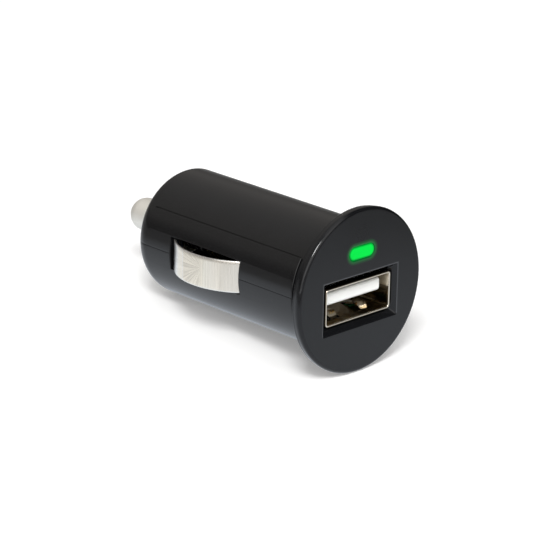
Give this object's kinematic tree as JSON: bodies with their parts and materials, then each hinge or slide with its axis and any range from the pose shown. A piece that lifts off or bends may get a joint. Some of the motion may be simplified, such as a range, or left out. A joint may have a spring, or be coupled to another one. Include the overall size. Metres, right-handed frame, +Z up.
{
  "type": "car usb charger plug",
  "caption": "Round plug-in charger for a vehicle's 12 V socket: barrel of two half shells with sprung side contacts, sprung centre pin and a flanged front cap with a USB port and a lamp.",
  "frame": {"origin": "on the barrel's axis, in the plane of the flange's back face, where the charger seats on its socket", "axes": "+Y along the barrel towards the centre pin, the port faces -Y, +Z up from the port towards the lamp, +X to the right when looking into the port"},
  "size_m": [0.0244, 0.0487, 0.0244],
  "materials": {
    "shell_plastic": "satin black, finely polished",
    "cap_plastic": "charcoal, fine moulded texture",
    "lamp_plastic": "clear green, polished",
    "nickel_shell": "bright nickel plate",
    "nickel_contact": "nickel plate over drawn spring strip",
    "nickel_pin": "nickel plate over a turned pin",
    "white_plastic": "satin white",
    "gold_contact": "gold flash over copper alloy",
    "clip_brass": "tinned edges, plain stamped faces",
    "spring_steel": "drawn spring wire",
    "tinned_wire": "tin plate",
    "board_laminate": "green solder mask",
    "ferrite": "dull sintered ferrite",
    "copper_wire": "enamelled winding wire",
    "can_aluminium": "sleeved drawn can",
    "package_black": "matt moulding compound",
    "ceramic": "sintered ceramic with tinned ends"
  },
  "bodies": {
    "housing": {"upper_shell": "shell_plastic", "lower_shell": "shell_plastic", "front_cap": "cap_plastic", "indicator_led": "lamp_plastic", "led_lead_left": "tinned_wire", "led_lead_right": "tinned_wire", "usb_shell": "nickel_shell", "usb_insulator": "white_plastic", "usb_contact_1": "gold_contact", "usb_contact_2": "gold_contact", "usb_contact_3": "gold_contact", "usb_contact_4": "gold_contact", "circuit_board": "board_laminate", "inductor_core": "ferrite", "inductor_winding": "copper_wire", "input_capacitor": "can_aluminium", "output_capacitor": "can_aluminium", "controller_chip": "package_black", "rectifier_diode": "package_black", "chip_resistor_left": "package_black", "chip_resistor_right": "package_black", "chip_capacitor_left": "ceramic", "chip_capacitor_right": "ceramic", "contact_clip_left": "clip_brass", "contact_clip_right": "clip_brass", "pin_spring": "spring_steel", "spring_terminal": "clip_brass"},
    "centre_pin": {"centre_pin": "nickel_pin"},
    "side_contact_left": {"side_contact_left": "nickel_contact"},
    "side_contact_right": {"side_contact_right": "nickel_contact"}
  },
  "joints": [
    {"name": "pin_slide", "type": "slide", "parent": "housing", "child": "centre_pin", "axis": [0, -1, 0], "range_m": [0, 0.003], "stiffness_N_per_m": 1000, "springref_m": -0.0015, "deforming": ["pin_spring"]},
    {"name": "contact_flex_right", "type": "hinge", "parent": "housing", "child": "side_contact_right", "pos_m": [0.007, 0.0099, 0], "axis": [0, 0, 1], "range_deg": [0, 10], "stiffness_Nm_per_rad": 0.2, "springref_deg": -2.86},
    {"name": "contact_flex_left", "type": "hinge", "parent": "housing", "child": "side_contact_left", "pos_m": [-0.007, 0.0099, 0], "axis": [0, 0, -1], "range_deg": [0, 10], "stiffness_Nm_per_rad": 0.2, "springref_deg": -2.86}
  ]
}
